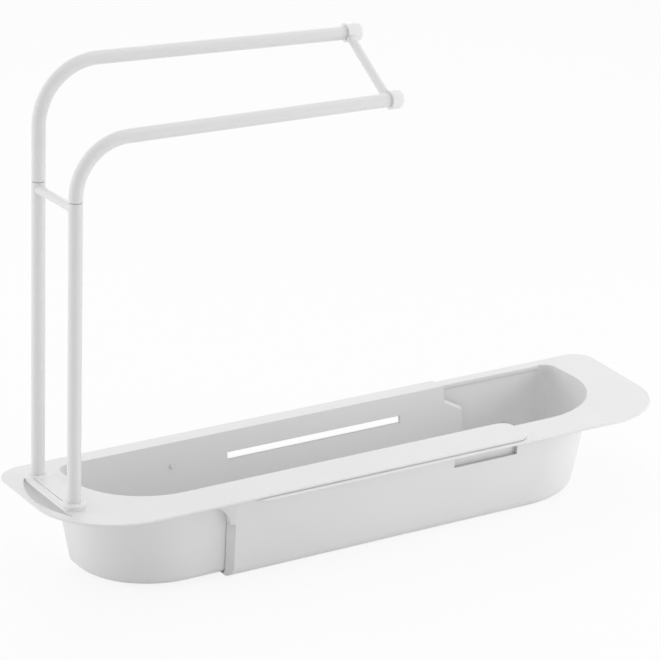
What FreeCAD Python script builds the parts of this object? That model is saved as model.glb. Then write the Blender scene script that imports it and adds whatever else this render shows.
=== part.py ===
import FreeCAD, Part
import math
import os

Vector = FreeCAD.Vector

# Driving dimensions in millimetres and degrees.
# X runs along the caddy from the towel frame's end, Y from front to back, Z up.
# The origin is at the middle of the caddy's outline, on the surface that the outer tray stands on.

# Both trays
opening_width = 71.2
rear_rim = 12.2
front_rim = 28.7
rim_plate = 1.2
rim_edge_radius = 0.7
tray_wall = 1.9
tray_floor = 1.5
side_draft = 6.0
rim_height = 60.4
rest_overlap = 189.5

# Fits between the two trays
side_gap = 3.2
floor_gap = 0.5
rim_gap = 0.3
rear_overhang = 0.8
front_overhang = 2.2
guide_clearance = 0.35

# Inner tray, which carries the towel frame
inner_length = 302.0
left_flange = 34.0
left_end_wall = 3.1
inner_rear_corner = 8.0
inner_rear_outer_corner = 5.6
inner_front_corner = 48.0
inner_floor_radius = 5.0
left_end_draft = 7.0
left_flange_rear_corner = 16.0
left_flange_front_corner = 50.0
rim_end_front_corner = 10.0
rim_end_rear_corner = 2.0
rim_end_inner_corner = 8.0
tail_length = 13.5
tail_drop = 9.0
tail_slope = 26.0
tail_bevel = 1.6

# Outer tray, which slides over the inner tray
outer_length = 304.5
right_flange = 32.0
outer_rear_corner = 8.0
outer_front_corner = 56.0
outer_floor_radius = 7.0
right_end_draft = 9.8
right_flange_rear_corner = 13.0
right_flange_front_corner = 50.0
right_flange_lean = 9.0
outer_rim_end_corner = 8.0
lip_thickness = 2.2
mouth_length = 3.4
mouth_edge = 0.5
web_radius = 13.0
web_drop = 9.5
rail_depth = 1.0
rail_height = 2.2

# Stop ribs outside the inner tray, which meet the outer tray's lip
extend_travel = 110.5
stop_thickness = 2.4
stop_low = 12.0
stop_high = 38.0

# Slots through the rear walls, the recess in the front wall and the small pip in the inner tray
slot_drop = 13.0
inner_slot_height = 4.7
outer_slot_height = 7.4
inner_slot_end = 33.0
inner_slot_length = 122.0
outer_slot_start = 15.5
outer_slot_length = 160.0
recess_start = 149.0
recess_length = 45.0
recess_depth = 2.4
recess_wall = 0.9
pip_distance = 109.0
pip_drop = 14.5
pip_radius = 1.3

# Finger opening beside the foot in the left flange
opening_chord = 65.0
opening_bulge = 8.8
opening_tuck = 0.6
opening_shift = 3.5

# Foot of the towel frame and the plate that locks it under the flange
post_offset = 18.0
post_spacing = 48.2
foot_width = 14.0
foot_plate = 2.8
foot_edge_radius = 0.6
groove_offset = 4.5
groove_width = 0.8
groove_depth = 0.7
collar_diameter = 12.8
collar_rise = 3.6
boss_diameter = 11.2
boss_clearance = 0.1
lock_plate = 7.9
lock_front = 4.8
lock_floor = 1.2
lock_slope_start = 16.0
lock_slope_end = 2.0
lock_rear_corner = 1.5
lock_front_corner = 6.0
socket_floor = 1.0
socket_clearance = 0.1
seat_gap = 0.05

# Tubes of the towel frame, with heights along the posts from the top of the inner tray's rim
tube_diameter = 8.0
tube_bore = 5.6
frame_lean = 2.27
joint_height = 177.3
joint_gap = 0.25
joint_chamfer = 0.35
spigot_depth = 14.0
spigot_rise = 8.0
fit_clearance = 0.05
front_straight = 1.7
rear_straight = 30.9
front_arm_droop = 0.55
rear_arm_droop = 1.81
front_bend_radius = 32.5
rear_bend_radius = 36.5

# Crossbars and end caps of the towel frame
bar_diameter = 5.2
bar_peg_diameter = 3.0
bar_peg_length = 1.1
bar_reach = 197.1
mid_bar_drop = 4.2
flare_diameter = 6.6
flare_length = 3.5
cap_diameter = 11.2
cap_reach = 205.8
front_cap_length = 8.6
rear_cap_length = 10.8
cap_end = 2.0
cap_edge_radius = 3.0

# Spare length for cutting solids, longer than what they pass through
spare = 10.0

# Lines worked out from the driving dimensions
rest_length = inner_length + outer_length - rest_overlap
inner_left = -rest_length / 2
inner_right = inner_left + inner_length
outer_right = rest_length / 2
outer_left = outer_right - outer_length
tub_y = (front_rim + front_overhang - rear_rim - rear_overhang) / 2
opening_half = opening_width / 2
rim_rear = tub_y + opening_half + rear_rim
rim_front = tub_y - opening_half - front_rim
inner_base = tray_floor + floor_gap
inner_rim_under = rim_height - rim_plate
outer_rim_top = inner_rim_under - rim_gap
outer_rim_under = outer_rim_top - rim_plate
side_slope = math.tan(math.radians(side_draft))
outer_step = tray_wall + side_gap + (rim_height - outer_rim_top) * side_slope
post_x = inner_left + post_offset
post_half = post_spacing / 2
foot_half = foot_width / 2
lock_top = inner_rim_under - seat_gap
lock_under = lock_top - lock_plate
lock_front_under = lock_top - lock_front
boss_radius = boss_diameter / 2
boss_under = lock_front_under + lock_floor + seat_gap
socket_low = boss_under + socket_floor - rim_height
tube_radius = tube_diameter / 2
bore_radius = tube_bore / 2
bar_radius = bar_diameter / 2
bar_peg_radius = bar_peg_diameter / 2
mid_bar_height = joint_height - mid_bar_drop
lean = math.radians(frame_lean)
post_up = Vector(math.sin(lean), 0, math.cos(lean))
touch = 1e-6


def rounded_wire(corners, z):
    """Closed level wire through corners given as x, y and corner radius."""
    ends = []
    for i, (x, y, radius) in enumerate(corners):
        point = Vector(x, y, z)
        before = corners[i - 1]
        after = corners[(i + 1) % len(corners)]
        back = (Vector(before[0], before[1], z) - point).normalize()
        ahead = (Vector(after[0], after[1], z) - point).normalize()
        half = back.getAngle(ahead) / 2
        inward = (back + ahead).normalize()
        run = radius / math.tan(half)
        middle = point + inward * (radius / math.sin(half) - radius)
        ends.append((point + back * run, middle, point + ahead * run, radius))
    edges = []
    for i, (start, middle, end, radius) in enumerate(ends):
        previous_end = ends[i - 1][2]
        if previous_end.distanceToPoint(start) > touch:
            edges.append(Part.LineSegment(previous_end, start).toShape())
        if radius > 0:
            edges.append(Part.Arc(start, middle, end).toShape())
    return Part.Wire(edges)


def plate(corners, z_low, z_high):
    """Flat plate with rounded corners between two heights, with its top edge rounded."""
    block = Part.Face(rounded_wire(corners, z_low)).extrude(Vector(0, 0, z_high - z_low))
    return block.makeFillet(rim_edge_radius, edges_at(block, z_high))


def obround(radius, z_low, z_high):
    """Long rounded plate round both posts."""
    block = Part.makeBox(2 * radius, post_spacing, z_high - z_low,
                         Vector(post_x - radius, tub_y - post_half, z_low))
    for side in (-1, 1):
        block = block.fuse(upright(side, radius, z_low, z_high))
    return block.removeSplitter()


def upright(side, radius, z_low, z_high):
    """Upright cylinder at a post's foot, side -1 in front and 1 behind."""
    return Part.makeCylinder(radius, z_high - z_low, Vector(post_x, tub_y + side * post_half, z_low))


def box(x_low, x_high, y_low, y_high, z_low, z_high):
    """Box given by its limits."""
    return Part.makeBox(x_high - x_low, y_high - y_low, z_high - z_low, Vector(x_low, y_low, z_low))


def prism(points, along):
    """Solid swept from a flat polygon along a vector."""
    return Part.Face(Part.makePolygon(points + points[:1])).extrude(along)


def rod(start, end, radius):
    """Round bar between two points."""
    along = end - start
    return Part.makeCylinder(radius, along.Length, start, along)


def edges_at(solid, z):
    """Edges that lie at one height."""
    return [e for e in solid.Edges if all(abs(v.Z - z) < touch for v in e.Vertexes)]


def floor_edges(solid, z, open_ends):
    """Edges of a tub's floor, apart from those across its open ends."""
    def across(edge):
        return any(all(abs(v.X - x) < touch for v in edge.Vertexes) for x in open_ends)
    return [e for e in edges_at(solid, z) if not across(e)]


def tub(outline, z_top, z_bottom, radius, open_ends):
    """Drafted tub block with its floor edge rounded, from an outline given as a function of height."""
    wires = [rounded_wire(outline(z_top), z_top), rounded_wire(outline(z_bottom), z_bottom)]
    block = Part.makeLoft(wires, True, True)
    return block.makeFillet(radius, floor_edges(block, z_bottom, open_ends))


def half_width(grow, z):
    """Half the width of the inner tray's hollow at a height, grown sideways."""
    return opening_half + grow - (rim_height - z) * side_slope


def end_inset(draft, z_top, z):
    """How far a drafted end wall has moved in at a height."""
    return (z_top - z) * math.tan(math.radians(draft))


def inner_outline(grow, end_grow, rear_radius, right):
    """Outline of the inner tray's tub at any height, square at its open right end."""
    def at(z):
        left = inner_left + left_flange - end_grow + end_inset(left_end_draft, rim_height, z)
        rear = tub_y + half_width(grow, z)
        front = tub_y - half_width(grow, z)
        return [(left, rear, rear_radius), (left, front, inner_front_corner),
                (right, front, 0), (right, rear, 0)]
    return at


def outer_outline(grow, left):
    """Outline of the outer tray's tub at any height, square at its open left end."""
    def at(z):
        right = outer_right - right_flange + grow - end_inset(right_end_draft, outer_rim_top, z)
        rear = tub_y + half_width(outer_step + grow, z)
        front = tub_y - half_width(outer_step + grow, z)
        return [(left, front, 0), (right, front, outer_front_corner),
                (right, rear, outer_rear_corner), (left, rear, 0)]
    return at


def channel(grow, x_low, x_high, z_bottom):
    """Straight piece of the inner tray's section, grown sideways and open at both ends."""
    def at(z):
        rear = tub_y + half_width(grow, z)
        front = tub_y - half_width(grow, z)
        return [(x_low, front, 0), (x_high, front, 0), (x_high, rear, 0), (x_low, rear, 0)]
    return tub(at, rim_height, z_bottom, inner_floor_radius, (x_low, x_high))


def slot(x_low, length, height, y_low, y_high):
    """Straight slot through a long wall, with its top at the same drop below the rim in both trays."""
    z_high = rim_height - slot_drop
    return box(x_low, x_low + length, y_low, y_high, z_high - height, z_high)


def stop_ribs():
    """Ribs on both long sides of the inner tray, which meet the lip at the end of the travel."""
    x_low = outer_left + lip_thickness + extend_travel
    x_high = x_low + stop_thickness
    room = channel(outer_step - guide_clearance, x_low, x_high, inner_base)
    core = channel(tray_wall / 2, x_low - spare, x_high + spare, inner_base)
    band = box(x_low, x_high, rim_front, rim_rear, stop_low, stop_high)
    return room.common(band).cut(core)


def finger_opening():
    """Opening through the left flange with a straight side tucked under the foot and a bowed side."""
    x = post_x - foot_half + opening_tuck
    y = tub_y - opening_shift
    z = inner_rim_under - spare
    front = Vector(x, y - opening_chord / 2, z)
    rear = Vector(x, y + opening_chord / 2, z)
    bow = Part.Arc(rear, Vector(x - opening_bulge, y, z), front)
    wire = Part.Wire([Part.LineSegment(front, rear).toShape(), bow.toShape()])
    return Part.Face(wire).extrude(Vector(0, 0, rim_plate + 2 * spare))


def tail_cuts(tub_right):
    """What is taken off the tub beyond the rim's end: sloping top, bevel and front corner."""
    end = tub_right + spare
    high = rim_height - tail_drop
    low = high - (end - inner_right) * math.tan(math.radians(tail_slope))
    top = prism([Vector(inner_right, rim_front, rim_height + spare),
                 Vector(end, rim_front, rim_height + spare),
                 Vector(end, rim_front, low),
                 Vector(inner_right, rim_front, high)],
                Vector(0, rim_rear - rim_front, 0))
    wall_y = tub_y + half_width(0, high)
    bevel = prism([Vector(inner_right, wall_y - spare, high - tail_bevel - spare),
                   Vector(inner_right, wall_y + tail_bevel, high),
                   Vector(inner_right, wall_y - spare, high)],
                  Vector(end - inner_right, 0, low - high))
    front = tub_y - opening_half - tray_wall
    rear = tub_y + opening_half + tray_wall
    corner = prism([Vector(inner_right, rim_front, 0),
                    Vector(inner_right, front, 0),
                    Vector(tub_right, rear, 0),
                    Vector(end, rear, 0),
                    Vector(end, rim_front, 0)],
                   Vector(0, 0, inner_rim_under))
    return [top, bevel, corner]


def make_inner_tray():
    """Left tray: rim, tub open at its right end, stop ribs, slot, pip and the openings for the foot."""
    tub_right = inner_right + tail_length
    block = tub(inner_outline(tray_wall, left_end_wall, inner_rear_outer_corner, tub_right),
                rim_height, inner_base, inner_floor_radius, (tub_right,))
    hollow_right = tub_right + spare
    hollow = tub(inner_outline(0, 0, inner_rear_corner, hollow_right), rim_height, inner_base + tray_floor,
                 inner_floor_radius - tray_wall, (hollow_right,))
    rim = plate([(inner_left, rim_rear, left_flange_rear_corner),
                 (inner_left, rim_front, left_flange_front_corner),
                 (inner_right, rim_front, rim_end_front_corner),
                 (inner_right, rim_rear, rim_end_rear_corner)], inner_rim_under, rim_height)
    inner_corner = box(inner_right - rim_end_inner_corner, inner_right,
                       tub_y - opening_half - rim_end_inner_corner, tub_y - opening_half,
                       inner_rim_under, rim_height)
    round_end = Part.makeCylinder(rim_end_inner_corner, rim_plate,
                                  Vector(inner_right - rim_end_inner_corner,
                                         tub_y - opening_half - rim_end_inner_corner, inner_rim_under))
    tray = block.cut(tail_cuts(tub_right)).fuse([rim, stop_ribs()])
    tray = tray.cut([hollow, inner_corner.cut(round_end), finger_opening()])
    tray = tray.cut(slot(inner_right - inner_slot_end - inner_slot_length, inner_slot_length,
                         inner_slot_height, tub_y, rim_rear))
    pip_height = rim_height - pip_drop
    pip_centre = Vector(inner_left + pip_distance, tub_y + half_width(0, pip_height), pip_height)
    tray = tray.fuse(Part.makeSphere(pip_radius, pip_centre))
    for side in (-1, 1):
        tray = tray.cut(upright(side, boss_radius + boss_clearance,
                                inner_rim_under - spare, rim_height + spare))
    return tray.removeSplitter()


def make_outer_tray():
    """Right tray: rim, tub open at its left end, mouth, webs, rear rail, slot and recess."""
    block = tub(outer_outline(tray_wall, outer_left), outer_rim_top, 0, outer_floor_radius, (outer_left,))
    hollow_left = outer_left - spare
    hollow = tub(outer_outline(0, hollow_left), outer_rim_top, tray_floor,
                 outer_floor_radius - tray_wall, (hollow_left,))
    rear_edge = rim_rear + rear_overhang
    front_edge = rim_front - front_overhang
    rim = plate([(outer_left, rear_edge, outer_rim_end_corner),
                 (outer_left, front_edge, outer_rim_end_corner),
                 (outer_right - right_flange_lean, front_edge, right_flange_front_corner),
                 (outer_right, rear_edge, right_flange_rear_corner)], outer_rim_under, outer_rim_top)
    lip_end = outer_left + lip_thickness
    lip = block.common(box(outer_left, lip_end, rim_front, rim_rear, 0, outer_rim_top))
    passage = channel(tray_wall + guide_clearance, outer_left - spare, lip_end + spare, tray_floor)
    wall_y = tub_y + half_width(outer_step, outer_rim_top)
    rail = box(lip_end, outer_right - right_flange - outer_rear_corner, wall_y - rail_depth,
               wall_y + tray_wall / 2, outer_rim_top - rail_height, outer_rim_top)
    recess_x = outer_left + recess_start
    recess_high = rim_height - slot_drop
    recess_low = recess_high - outer_slot_height
    pocket = front_layer(recess_x - recess_wall, recess_length + 2 * recess_wall, recess_low - recess_wall,
                         recess_high + recess_wall, tray_wall / 2, recess_depth + recess_wall)
    tray = block.cut(hollow).fuse([rim.cut(hollow), lip.cut(passage), mouth(), rail, pocket] + mouth_webs())
    tray = tray.cut(slot(outer_left + outer_slot_start, outer_slot_length,
                         outer_slot_height, tub_y, rim_rear))
    tray = tray.cut(front_layer(recess_x, recess_length, recess_low, recess_high, -spare, recess_depth))
    return tray.removeSplitter()


def front_layer(x_low, length, z_low, z_high, start, end):
    """Slab along the outer tray's front wall between two depths below its outside face."""
    def at(z, depth):
        return Vector(x_low, tub_y - half_width(outer_step + tray_wall - depth, z), z)
    corners = [at(z_low, start), at(z_low, end), at(z_high, end), at(z_high, start)]
    return prism(corners, Vector(length, 0, 0))


def mouth():
    """Bevelled ring that closes the gap to the inner tray at the outer tray's open end."""
    tip = outer_left - mouth_length
    block = tub(outer_outline(tray_wall, tip), outer_rim_under, 0, outer_floor_radius, (tip,))
    ring = block.common(box(tip, outer_left, rim_front, rim_rear, 0, outer_rim_under))
    passage = channel(tray_wall + guide_clearance, tip - spare, outer_left + spare, tray_floor)
    run = mouth_length + spare
    side_depth = (outer_step - guide_clearance - mouth_edge) / mouth_length * run
    floor_depth = (tray_floor - mouth_edge) / mouth_length * run
    end = outer_left - run
    cuts = [prism([Vector(outer_left, rim_front, 0), Vector(end, rim_front, 0),
                   Vector(end, rim_front, floor_depth)],
                  Vector(0, rim_rear - rim_front, 0))]
    for side in (-1, 1):
        y = tub_y + side * half_width(outer_step + tray_wall, 0)
        cuts.append(prism([Vector(outer_left, y, 0), Vector(end, y, 0),
                           Vector(end, y - side * side_depth, 0)],
                          Vector(0, side * side_slope * rim_height, rim_height)))
    return ring.cut(cuts + [passage])


def mouth_webs():
    """Webs hollowed from below that carry the mouth to the left under the rim on both long sides."""
    end = outer_left - mouth_length - web_radius
    rise = web_radius + web_drop
    low = outer_rim_under - rise
    hollow = Part.makeCylinder(web_radius, rim_rear - rim_front, Vector(end, rim_front, low), Vector(0, 1, 0))
    webs = []
    for side in (-1, 1):
        outside = tub_y + side * half_width(outer_step + tray_wall, low)
        inside = tub_y + side * half_width(tray_wall + guide_clearance, low)
        web = prism([Vector(outer_left, outside, low), Vector(outer_left, inside, low),
                     Vector(end, inside, low), Vector(end, inside + side * mouth_edge, low)],
                    Vector(0, side * side_slope * rise, rise))
        webs.append(web.cut(hollow))
    return webs


def post_point(side, height):
    """Point on a post's axis, side -1 in front and 1 behind."""
    return Vector(post_x, tub_y + side * post_half, rim_height) + post_up * height


def arm_direction(side):
    """Direction of an arm, which droops a little."""
    droop = math.radians(front_arm_droop if side < 0 else rear_arm_droop)
    return Vector(math.cos(droop), 0, -math.sin(droop))


def bend_radius(side):
    """Radius of an arm's bend at the tube's axis."""
    return front_bend_radius if side < 0 else rear_bend_radius


def bend_run(side):
    """Length that the bend takes up on each side of the corner."""
    return bend_radius(side) * math.tan(post_up.getAngle(arm_direction(side)) / 2)


def arm_point(side, reach):
    """Point on an arm's axis, counted from where it would meet the post's axis."""
    straight = front_straight if side < 0 else rear_straight
    return post_point(side, joint_height + straight + bend_run(side)) + arm_direction(side) * reach


def make_foot():
    """Long grooved foot with a collar round each post and two hollow bosses that pass through the flange."""
    low = rim_height + seat_gap
    top = rim_height + foot_plate
    foot = obround(foot_half, low, top)
    foot = foot.makeFillet(foot_edge_radius, edges_at(foot, top))
    groove_x = post_x - groove_offset
    foot = foot.cut(box(groove_x - groove_width / 2, groove_x + groove_width / 2,
                        tub_y - post_half, tub_y + post_half, top - groove_depth, top + spare))
    for side in (-1, 1):
        collar = upright(side, collar_diameter / 2, low, rim_height + collar_rise)
        collar = collar.makeFillet(foot_edge_radius, edges_at(collar, rim_height + collar_rise))
        foot = foot.fuse([collar, upright(side, boss_radius, boss_under, top)])
    for side in (-1, 1):
        foot = foot.cut(rod(post_point(side, socket_low), post_point(side, spare),
                            tube_radius + socket_clearance))
    return foot.removeSplitter()


def make_lock_plate():
    """Plate under the flange, thinner in front, with a blind seat for each boss of the foot."""
    left = post_x - foot_half + opening_tuck
    right = post_x + foot_half
    rear = tub_y + post_half + foot_half
    front = tub_y - post_half - foot_half
    outline = rounded_wire([(left, rear, lock_rear_corner), (left, front, lock_front_corner),
                            (right, front, lock_front_corner), (right, rear, lock_rear_corner)], lock_under)
    lock = Part.Face(outline).extrude(Vector(0, 0, lock_plate))
    x = left - spare
    slope_start = tub_y - lock_slope_start
    slope_end = tub_y - lock_slope_end
    lock = lock.cut(prism([Vector(x, front - spare, lock_under - spare),
                           Vector(x, slope_end, lock_under - spare),
                           Vector(x, slope_end, lock_under),
                           Vector(x, slope_start, lock_front_under),
                           Vector(x, front - spare, lock_front_under)],
                          Vector(foot_width + 2 * spare, 0, 0)))
    for side in (-1, 1):
        lock = lock.cut(upright(side, boss_radius + boss_clearance, lock_front_under + lock_floor, lock_top))
    return lock


def chamfer_end(solid, end, radius):
    """The solid with the round edge of that radius at one end chamfered for the joint."""
    def at_end(edge):
        middle = edge.CenterOfMass.distanceToPoint(end) < touch
        return edge.Closed and middle and abs(edge.Curve.Radius - radius) < touch
    return solid.makeChamfer(joint_chamfer, [e for e in solid.Edges if at_end(e)])


def peg_hole(start, toward):
    """Hole in one side of a tube for a crossbar's peg."""
    direction = (toward - start).normalize()
    return rod(start, start + direction * tube_diameter, bar_peg_radius + fit_clearance)


def make_post(side):
    """Straight tube from the foot's socket to the joint, with a hole for the middle crossbar."""
    bottom = post_point(side, socket_low + seat_gap)
    top = post_point(side, joint_height)
    tube = chamfer_end(rod(bottom, top, tube_radius), top, tube_radius).cut(rod(bottom, top, bore_radius))
    return tube.cut(peg_hole(post_point(side, mid_bar_height), post_point(-side, mid_bar_height)))


def bent_rod(side, radius):
    """Round bar along an arm's axis: up from the joint, round the bend and out into the cap."""
    start = post_point(side, joint_height + joint_gap)
    corner = arm_point(side, 0)
    out = arm_direction(side)
    inward = (out - post_up).normalize()
    middle = corner + inward * (math.hypot(bend_radius(side), bend_run(side)) - bend_radius(side))
    bend_start = corner - post_up * bend_run(side)
    bend_end = corner + out * bend_run(side)
    end = arm_point(side, cap_reach - cap_end - seat_gap)
    path = Part.Wire([Part.LineSegment(start, bend_start).toShape(),
                      Part.Arc(bend_start, middle, bend_end).toShape(),
                      Part.LineSegment(bend_end, end).toShape()])
    section = Part.Wire(Part.makeCircle(radius, start, post_up))
    return path.makePipeShell([section], True, False)


def make_arm(side):
    """Bent tube that carries the towel, with a straight seat for the spigot and a peg hole."""
    solid = chamfer_end(bent_rod(side, tube_radius), post_point(side, joint_height + joint_gap), tube_radius)
    tube = solid.cut(bent_rod(side, bore_radius))
    seat = rod(post_point(side, joint_height), post_point(side, joint_height + spigot_rise),
               bore_radius + fit_clearance)
    tube = tube.cut(seat)
    return tube.cut(peg_hole(arm_point(side, bar_reach), arm_point(-side, bar_reach)))


def make_spigot(side):
    """Pin inside the joint of post and arm."""
    low = post_point(side, joint_height - spigot_depth)
    high = post_point(side, joint_height + spigot_rise - seat_gap)
    return rod(low, high, bore_radius - fit_clearance)


def make_crossbar(rear, front, rear_along, front_along, flared):
    """Bar between two tubes, shaped to their sides, with a peg into each."""
    bar = rod(rear, front, bar_radius)
    pegs = []
    tubes = []
    for end, other, along in ((rear, front, rear_along), (front, rear, front_along)):
        direction = (other - end).normalize()
        if flared:
            root = end + direction * bore_radius
            bar = bar.fuse(Part.makeCone(flare_diameter / 2, bar_radius,
                                         tube_radius - bore_radius + flare_length, root, direction))
        tubes.append(rod(end - along * spare, end + along * spare, tube_radius + fit_clearance))
        pegs.append(rod(end + direction * (tube_radius - bar_peg_length),
                        end + direction * tube_diameter, bar_peg_radius))
    return bar.cut(tubes).fuse(pegs).removeSplitter()


def make_end_cap(side):
    """Round cup over an arm's end, notched for the end crossbar."""
    length = front_cap_length if side < 0 else rear_cap_length
    face = arm_point(side, cap_reach - length)
    end = arm_point(side, cap_reach)
    cap = rod(face, end, cap_diameter / 2)
    end_edges = [e for e in cap.Edges if e.Closed and e.CenterOfMass.distanceToPoint(end) < touch]
    cap = cap.makeFillet(cap_edge_radius, end_edges)
    cap = cap.cut(rod(face, arm_point(side, cap_reach - cap_end), tube_radius + fit_clearance))
    return cap.cut(rod(arm_point(side, bar_reach), arm_point(-side, bar_reach), bar_radius + fit_clearance))


pieces = {
    "inner_tray": make_inner_tray(),
    "outer_tray": make_outer_tray(),
    "towel_foot": make_foot(),
    "foot_lock_plate": make_lock_plate(),
    "mid_crossbar": make_crossbar(post_point(1, mid_bar_height), post_point(-1, mid_bar_height),
                                  post_up, post_up, True),
    "end_crossbar": make_crossbar(arm_point(1, bar_reach), arm_point(-1, bar_reach),
                                  arm_direction(1), arm_direction(-1), False),
}
for label, side in (("front", -1), ("rear", 1)):
    pieces[label + "_post"] = make_post(side)
    pieces[label + "_joint_spigot"] = make_spigot(side)
    pieces[label + "_arm"] = make_arm(side)
    pieces[label + "_end_cap"] = make_end_cap(side)

os.makedirs("parts", exist_ok=True)
for name, shape in pieces.items():
    shape.exportStep("parts/" + name + ".step")
    print(name, shape.isValid(), len(shape.Solids), "solid", round(shape.Volume, 1), "mm3")
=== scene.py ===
import math

import bpy
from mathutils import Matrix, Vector

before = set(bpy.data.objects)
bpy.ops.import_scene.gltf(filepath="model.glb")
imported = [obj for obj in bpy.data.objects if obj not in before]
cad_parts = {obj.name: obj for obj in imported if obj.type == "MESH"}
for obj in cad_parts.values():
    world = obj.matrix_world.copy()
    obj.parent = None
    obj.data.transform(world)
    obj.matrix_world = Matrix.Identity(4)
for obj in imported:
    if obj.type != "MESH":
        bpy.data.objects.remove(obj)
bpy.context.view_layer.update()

# Viewing direction and framing of the photograph, in metres and degrees
IMAGE_WIDTH = 660
FOCAL_PIXELS = 2787.5
SENSOR = 36.0
VIEW_AZIMUTH = math.radians(30.304)
VIEW_PITCH = math.radians(19.27)
VIEW_TARGET = Vector((-0.00982, 0.00895, 0.12662))
VIEW_DISTANCE = 1.64925

# Light: radiances of the surroundings and the lamps, and the lamps' sizes and places in metres
WHITE = (1.0, 1.0, 1.0, 1.0)
WORLD_LEVEL = 0.56
TOP_RADIANCE = 0.78
TOP_SIZE = 1.7
TOP_LEVEL = 1.6
LEFT_RADIANCE = 2.7
LEFT_DISTANCE = 1.2
RIGHT_RADIANCE = 3.0
RIGHT_DISTANCE = 1.1
RIGHT_SWING = math.radians(8.0)
SIDE_WIDTH = 0.9
SIDE_HEIGHT = 0.5
SIDE_LEVEL = 0.27
BACK_RADIANCE = 1.6
BACK_DISTANCE = 1.6
BACK_WIDTH = 1.4
BACK_HEIGHT = 0.6
BACK_LEVEL = 1.1

# Floor, just under the object's base so that their faces don't coincide
FLOOR_SIZE = 24.0
FLOOR_GAP = 0.0002
FLOOR_WHITE = 0.97
FLOOR_MOTTLE = 0.01
FLOOR_SCALE = 3.0
FLOOR_DETAIL = 2.0
FLOOR_GLOW = 0.86

# Whites and greys of the plastics, linear
TRAY_WHITE = 0.80
TUBE_WHITE = 0.79
CAP_WHITE = 0.86
# Near-white that edges are lightened towards: a painted highlight
HIGHLIGHT_WHITE = 0.97
# Lock plate grey is darkened to paint the shade that lies over it under the flange
LOCK_SHADE_GREY = 0.55
SPIGOT_GREY = 0.62

# What all the plastics share: cloudy tone, scratches, smudges, grain, a painted highlight on edges and
# painted shade in recesses
NOISE_LOW = 0.3
NOISE_HIGH = 0.7
CLOUD_SCALE = 9.0
CLOUD_DETAIL = 3.0
CLOUD_SPREAD = 0.015
SCRATCH_STRETCH = (14.0, 220.0, 220.0)
SCRATCH_SCALE = 3.0
SCRATCH_DETAIL = 4.0
SCRATCH_ROUGHNESS = 0.65
SCRATCH_LOW = 0.62
SCRATCH_HIGH = 0.78
SCRATCH_TONE = 0.12
SMUDGE_SCALE = 38.0
SMUDGE_DETAIL = 5.0
SMUDGE_ROUGHNESS = 0.6
SATIN_SPREAD = 0.05
GRAIN_DETAIL = 2.0
SOFT_EDGE_SAMPLES = 6
# Samples and range of the edge mask for the painted highlight on edges
HIGHLIGHT_SAMPLES = 8
HIGHLIGHT_FLAT = 0.99
HIGHLIGHT_TURNED = 0.85
# Reach and strength of the painted shade in the pieces' own recesses
CREASE_REACH = 0.007
CREASE_SAMPLES = 6
CREASE_OPEN = 0.95
CREASE_SHUT = 0.72


class Nodes:
    """Short way to add nodes to a tree and link them."""

    def __init__(self, tree):
        self.tree = tree
        tree.nodes.clear()

    def add(self, kind, **inputs):
        node = self.tree.nodes.new(kind)
        for name, value in inputs.items():
            self.put(node, name.replace("_", " "), value)
        return node

    def put(self, node, key, value):
        socket = node.inputs[key]
        if isinstance(value, bpy.types.NodeSocket):
            self.tree.links.new(value, socket)
        else:
            socket.default_value = value

    def noise(self, vector, scale, detail, roughness=0.5):
        node = self.add("ShaderNodeTexNoise", Vector=vector, Scale=scale, Detail=detail,
                        Roughness=roughness)
        return node.outputs["Fac"]

    def spread(self, value, low, high, to_low, to_high):
        node = self.add("ShaderNodeMapRange", Value=value, From_Min=low, From_Max=high,
                        To_Min=to_low, To_Max=to_high)
        return node.outputs["Result"]

    def math(self, operation, first, second):
        node = self.add("ShaderNodeMath")
        node.operation = operation
        self.put(node, 0, first)
        self.put(node, 1, second)
        return node.outputs["Value"]

    def grey(self, tone):
        node = self.add("ShaderNodeCombineColor", Red=tone, Green=tone, Blue=tone)
        return node.outputs["Color"]

    def seen(self):
        """Value that is 1 for camera, glossy and transmission rays and 0 for the rest."""
        rays = self.add("ShaderNodeLightPath").outputs
        mirrored = self.math("MAXIMUM", rays["Is Glossy Ray"], rays["Is Transmission Ray"])
        return self.math("MAXIMUM", rays["Is Camera Ray"], mirrored)


def highlight_edge_mask(n, reach):
    """Value that rises from 0 on open faces to 1 at edges, within a reach from them, used to paint a
    highlight there.
    """
    round_off = n.add("ShaderNodeBevel", Radius=reach)
    round_off.samples = HIGHLIGHT_SAMPLES
    turn = n.add("ShaderNodeVectorMath")
    turn.operation = "DOT_PRODUCT"
    n.put(turn, 0, round_off.outputs["Normal"])
    n.put(turn, 1, n.add("ShaderNodeNewGeometry").outputs["Normal"])
    return n.spread(turn.outputs["Value"], HIGHLIGHT_FLAT, HIGHLIGHT_TURNED, 0.0, 1.0)


def crease_shade_mask(n):
    """Value that rises from 0 in the open to 1 in the piece's own recesses, used to paint shade there."""
    shelter = n.add("ShaderNodeAmbientOcclusion", Distance=CREASE_REACH)
    shelter.samples = CREASE_SAMPLES
    shelter.only_local = True
    return n.spread(shelter.outputs["AO"], CREASE_OPEN, CREASE_SHUT, 0.0, 1.0)


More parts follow.
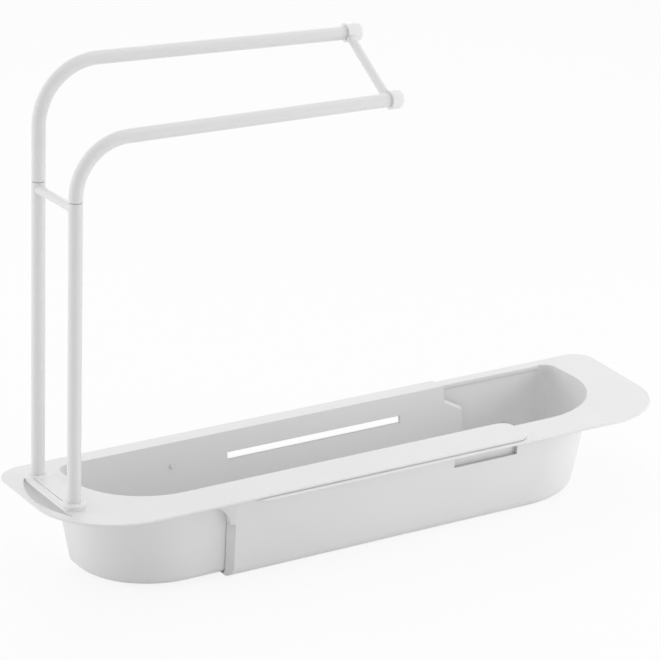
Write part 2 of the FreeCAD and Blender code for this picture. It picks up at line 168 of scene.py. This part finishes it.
def plastic(name, white, rough, grain_scale, grain_depth, grain_strength, scuff, edge,
            painted_highlight_reach=0.0, painted_shade=0.0):
    """Moulded plastic: cloudy tone, varying satin, fine grain, scuffs, painted highlight on edges, painted
    shade in recesses.
    """
    material = bpy.data.materials.new(name)
    material.use_nodes = True
    n = Nodes(material.node_tree)
    place = n.add("ShaderNodeTexCoord").outputs["Object"]
    cloud = n.noise(place, CLOUD_SCALE, CLOUD_DETAIL)
    stretch = n.add("ShaderNodeMapping", Vector=place, Scale=SCRATCH_STRETCH).outputs["Vector"]
    scratches = n.noise(stretch, SCRATCH_SCALE, SCRATCH_DETAIL, SCRATCH_ROUGHNESS)
    marks = n.spread(scratches, SCRATCH_LOW, SCRATCH_HIGH, 0.0, 1.0)
    tone = n.spread(cloud, NOISE_LOW, NOISE_HIGH, white * (1 - CLOUD_SPREAD), white * (1 + CLOUD_SPREAD))
    tone = n.math("SUBTRACT", tone, n.math("MULTIPLY", marks, scuff * SCRATCH_TONE))
    # Painted shade: darkens the colour in recesses and creases where shade falls
    if painted_shade > 0.0:
        tone = n.math("SUBTRACT", tone, n.math("MULTIPLY", crease_shade_mask(n), painted_shade))
    # Painted highlight: lightens edges towards near-white, standing in for the light they catch
    if painted_highlight_reach > 0.0:
        pale = n.math("SUBTRACT", HIGHLIGHT_WHITE, tone)
        tone = n.math("ADD", tone, n.math("MULTIPLY", highlight_edge_mask(n, painted_highlight_reach), pale))
    smudge = n.noise(place, SMUDGE_SCALE, SMUDGE_DETAIL, SMUDGE_ROUGHNESS)
    satin = n.spread(smudge, NOISE_LOW, NOISE_HIGH, rough - SATIN_SPREAD, rough + SATIN_SPREAD)
    satin = n.math("ADD", satin, n.math("MULTIPLY", marks, scuff))
    grain = n.noise(place, grain_scale, GRAIN_DETAIL)
    height = n.math("ADD", grain, n.math("MULTIPLY", marks, -scuff))
    soft_edge = n.add("ShaderNodeBevel", Radius=edge)
    soft_edge.samples = SOFT_EDGE_SAMPLES
    bump = n.add("ShaderNodeBump", Strength=grain_strength, Distance=grain_depth, Height=height,
                 Normal=soft_edge.outputs["Normal"])
    shader = n.add("ShaderNodeBsdfPrincipled", Base_Color=n.grey(tone), Roughness=satin,
                   Normal=bump.outputs["Normal"])
    n.add("ShaderNodeOutputMaterial", Surface=shader.outputs["BSDF"])
    return material


def dress(nodes, material):
    """Gives CAD nodes a material."""
    for name in nodes:
        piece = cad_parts[name]
        piece.data.materials.clear()
        piece.data.materials.append(material)


def make_floor():
    """Pale floor that is white to the camera and keeps the object's soft shadow."""
    bpy.ops.mesh.primitive_plane_add(size=FLOOR_SIZE, location=(0.0, 0.0, -FLOOR_GAP))
    floor = bpy.context.object
    floor.name = "floor"
    material = bpy.data.materials.new("pale_floor")
    material.use_nodes = True
    n = Nodes(material.node_tree)
    place = n.add("ShaderNodeTexCoord").outputs["Object"]
    mottle = n.noise(place, FLOOR_SCALE, FLOOR_DETAIL)
    shade = n.spread(mottle, NOISE_LOW, NOISE_HIGH, FLOOR_WHITE - FLOOR_MOTTLE, FLOOR_WHITE)
    matt = n.add("ShaderNodeBsdfDiffuse", Color=n.grey(shade))
    glow = n.add("ShaderNodeEmission", Color=WHITE, Strength=1.0)
    mix = n.add("ShaderNodeMixShader", Fac=n.math("MULTIPLY", n.seen(), FLOOR_GLOW))
    n.put(mix, 1, matt.outputs["BSDF"])
    n.put(mix, 2, glow.outputs["Emission"])
    n.add("ShaderNodeOutputMaterial", Surface=mix.outputs["Shader"])
    floor.data.materials.append(material)


def make_world():
    """Even white surroundings that show as white and light the object softly."""
    world = bpy.data.worlds.new("studio")
    bpy.context.scene.world = world
    world.use_nodes = True
    n = Nodes(world.node_tree)
    level = n.spread(n.seen(), 0.0, 1.0, WORLD_LEVEL, 1.0)
    sky = n.add("ShaderNodeBackground", Color=WHITE, Strength=level)
    n.add("ShaderNodeOutputWorld", Surface=sky.outputs["Background"])


def make_softbox(name, place, width, height, radiance, mirrored):
    """Rectangular lamp that faces the middle of the object, itself unseen, mirrored in surfaces or not."""
    lamp = bpy.data.lights.new(name, "AREA")
    lamp.shape = "RECTANGLE"
    lamp.size = width
    lamp.size_y = height
    lamp.energy = radiance * math.pi * width * height
    softbox = bpy.data.objects.new(name, lamp)
    softbox.location = place
    softbox.rotation_euler = (VIEW_TARGET - place).to_track_quat("-Z", "Y").to_euler()
    softbox.visible_camera = False
    softbox.visible_glossy = mirrored
    bpy.context.scene.collection.objects.link(softbox)


def make_lights():
    """Lamps above, on both sides and behind, placed as the camera sees the object."""
    up = Vector((0.0, 0.0, 1.0))
    to_right = Vector((math.cos(VIEW_AZIMUTH), -math.sin(VIEW_AZIMUTH), 0.0))
    to_back = Vector((math.sin(VIEW_AZIMUTH), math.cos(VIEW_AZIMUTH), 0.0))
    right_way = to_right * math.cos(RIGHT_SWING) - to_back * math.sin(RIGHT_SWING)
    make_softbox("top_softbox", up * TOP_LEVEL, TOP_SIZE, TOP_SIZE, TOP_RADIANCE, True)
    make_softbox("left_softbox", to_right * -LEFT_DISTANCE + up * SIDE_LEVEL,
                 SIDE_WIDTH, SIDE_HEIGHT, LEFT_RADIANCE, False)
    make_softbox("right_softbox", right_way * RIGHT_DISTANCE + up * SIDE_LEVEL,
                 SIDE_WIDTH, SIDE_HEIGHT, RIGHT_RADIANCE, False)
    make_softbox("back_softbox", to_back * BACK_DISTANCE + up * BACK_LEVEL,
                 BACK_WIDTH, BACK_HEIGHT, BACK_RADIANCE, True)


def make_camera():
    """Camera at the photograph's viewing angle."""
    forward = Vector((math.sin(VIEW_AZIMUTH) * math.cos(VIEW_PITCH),
                      math.cos(VIEW_AZIMUTH) * math.cos(VIEW_PITCH),
                      -math.sin(VIEW_PITCH)))
    data = bpy.data.cameras.new("photo_camera")
    data.sensor_width = SENSOR
    data.lens = SENSOR * FOCAL_PIXELS / IMAGE_WIDTH
    camera = bpy.data.objects.new("photo_camera", data)
    camera.location = VIEW_TARGET - forward * VIEW_DISTANCE
    camera.rotation_euler = forward.to_track_quat("-Z", "Y").to_euler()
    bpy.context.scene.collection.objects.link(camera)
    bpy.context.scene.camera = camera


# Trays get painted shade in their recesses
tray_plastic = plastic("tray_plastic", TRAY_WHITE, rough=0.46, grain_scale=1400.0, grain_depth=0.00006,
                       grain_strength=0.35, scuff=0.10, edge=0.0005, painted_shade=0.15)
# Foot edges get a painted highlight
foot_plastic = plastic("foot_plastic", TRAY_WHITE, rough=0.42, grain_scale=1600.0, grain_depth=0.00005,
                       grain_strength=0.30, scuff=0.05, edge=0.0003, painted_highlight_reach=0.0016)
# Lock plate in a darker grey that paints the shade under the flange
lock_plastic = plastic("lock_plastic", LOCK_SHADE_GREY, rough=0.5, grain_scale=1400.0, grain_depth=0.00006,
                       grain_strength=0.35, scuff=0.10, edge=0.0003)
tube_coating = plastic("tube_coating", TUBE_WHITE, rough=0.34, grain_scale=500.0, grain_depth=0.00004,
                       grain_strength=0.18, scuff=0.04, edge=0.0003)
cap_plastic = plastic("cap_plastic", CAP_WHITE, rough=0.28, grain_scale=900.0, grain_depth=0.00003,
                      grain_strength=0.15, scuff=0.03, edge=0.0003)
spigot_plastic = plastic("spigot_plastic", SPIGOT_GREY, rough=0.5, grain_scale=1200.0, grain_depth=0.00006,
                         grain_strength=0.3, scuff=0.10, edge=0.0003)

dress(["inner_tray", "outer_tray"], tray_plastic)
dress(["towel_foot"], foot_plastic)
dress(["foot_lock_plate"], lock_plastic)
dress(["front_post", "rear_post", "front_arm", "rear_arm", "mid_crossbar", "end_crossbar"], tube_coating)
dress(["front_end_cap", "rear_end_cap"], cap_plastic)
dress(["front_joint_spigot", "rear_joint_spigot"], spigot_plastic)

make_floor()
make_world()
make_lights()
make_camera()
bpy.context.scene.view_settings.view_transform = "Standard"
